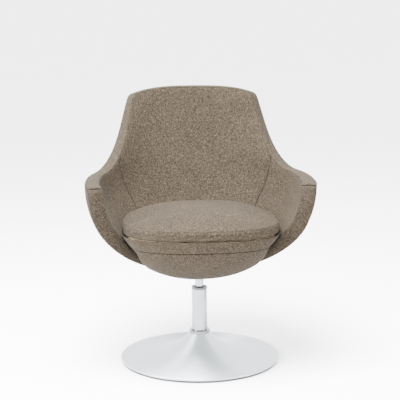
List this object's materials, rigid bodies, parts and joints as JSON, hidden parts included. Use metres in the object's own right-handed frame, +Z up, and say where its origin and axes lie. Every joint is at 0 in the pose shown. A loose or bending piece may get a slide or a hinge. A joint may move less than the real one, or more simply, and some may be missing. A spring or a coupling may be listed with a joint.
{
  "type": "pedestal swivel armchair",
  "caption": "Upholstered tub armchair with a wrapped back and arms and a loose seat cushion, turning on a round column over a chromed disc base.",
  "frame": {"origin": "on the floor, on the axis of the column", "axes": "+Z up, the chair faces -Y, +X to the right of a person who looks at the front"},
  "size_m": [0.7205, 0.6365, 0.8696],
  "materials": {
    "chrome": "polished chrome plate",
    "spindle": "ground bright steel",
    "tray": "matt black moulding",
    "seal": "matt black rubber",
    "bush": "matt black plastic",
    "ballast": "black paint",
    "bearing": "ground steel",
    "fastener": "zinc plated",
    "ply": "raw birch ply",
    "foam": "open cell foam",
    "grip": "black hook tape",
    "cloth": "woollen tweed, taupe",
    "lining_cloth": "plain dark lining cloth"
  },
  "bodies": {
    "base": {"floor_tray": "tray", "ballast_plate": "ballast", "socket_bolts": "fastener", "column_socket": "ballast", "base_cover": "chrome", "neck_seal": "seal", "neck_ring": "chrome", "column_tube": "chrome", "bearing_seat": "ballast", "lower_bush": "bush", "upper_bush": "bush", "lower_thrust_washer": "bearing", "bearing_balls": "bearing", "bearing_cage": "bush"},
    "seat": {"upper_thrust_washer": "bearing", "spindle": "spindle", "retaining_washer": "fastener", "retaining_clip": "fastener", "taper_hub": "ballast", "seat_plate": "ballast", "seat_bolts": "fastener", "seat_washers": "fastener", "tee_nuts": "fastener", "seat_pan": "ply", "seat_deck": "ply", "deck_screws": "fastener", "bowl_foam": "foam", "apron_band": "cloth", "bowl_cover": "cloth", "grip_strips": "grip", "cushion_board": "ply", "cushion_foam": "foam", "cushion_top_cover": "cloth", "cushion_side_band": "cloth", "cushion_base_cover": "lining_cloth", "shell_ply": "ply", "shell_inner_foam": "foam", "shell_outer_foam": "foam", "inner_back_lining": "cloth", "inner_arm_lining_left": "cloth", "inner_arm_lining_right": "cloth", "outer_back_cover": "cloth", "outer_side_cover_left": "cloth", "outer_side_cover_right": "cloth", "top_border": "cloth", "front_border_left": "cloth", "front_border_right": "cloth", "shell_screws": "fastener", "shell_washers": "fastener"}
  },
  "joints": [
    {"name": "seat_swivel", "type": "hinge", "parent": "base", "child": "seat", "pos_m": [0, 0, 0.067], "axis": [0, 0, 1], "continuous": true}
  ]
}
